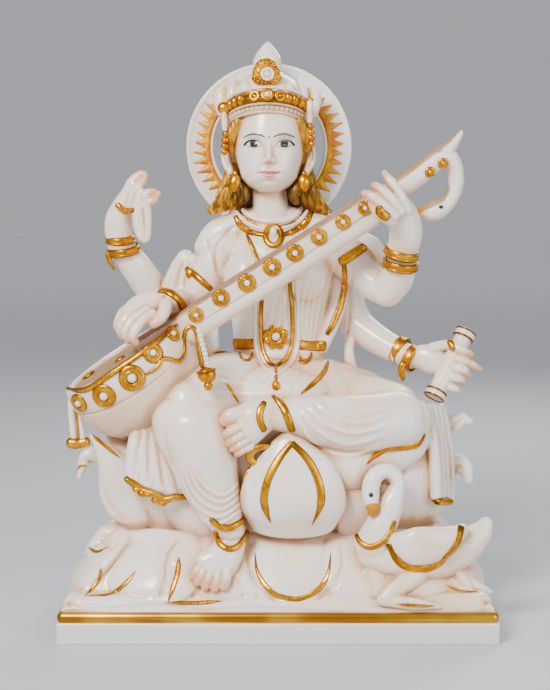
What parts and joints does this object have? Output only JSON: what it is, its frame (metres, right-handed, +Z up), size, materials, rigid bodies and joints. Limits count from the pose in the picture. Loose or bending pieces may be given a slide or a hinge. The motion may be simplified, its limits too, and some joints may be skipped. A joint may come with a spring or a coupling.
{
  "type": "saraswati figure",
  "caption": "Seated four-armed goddess with a lute, a swan and a halo, carved from one block of white marble on a petalled lotus base, with gilded ornament.",
  "frame": {"origin": "middle of the plinth's underside, on the surface that it stands on", "axes": "+Z up, +X to the right of a viewer in front, +Y away from that viewer, so the figure looks towards -Y"},
  "size_m": [0.442, 0.2404, 0.61],
  "materials": {
    "marble": "polished white marble with a warm tint rubbed into its hollows",
    "gilding": "gold leaf and gold paint, worn to brown in the hollows",
    "painted_features": "thin paint in fine lines, for eyes, brows and lips"
  },
  "bodies": {
    "root": {"statue": "marble"}
  },
  "joints": []
}
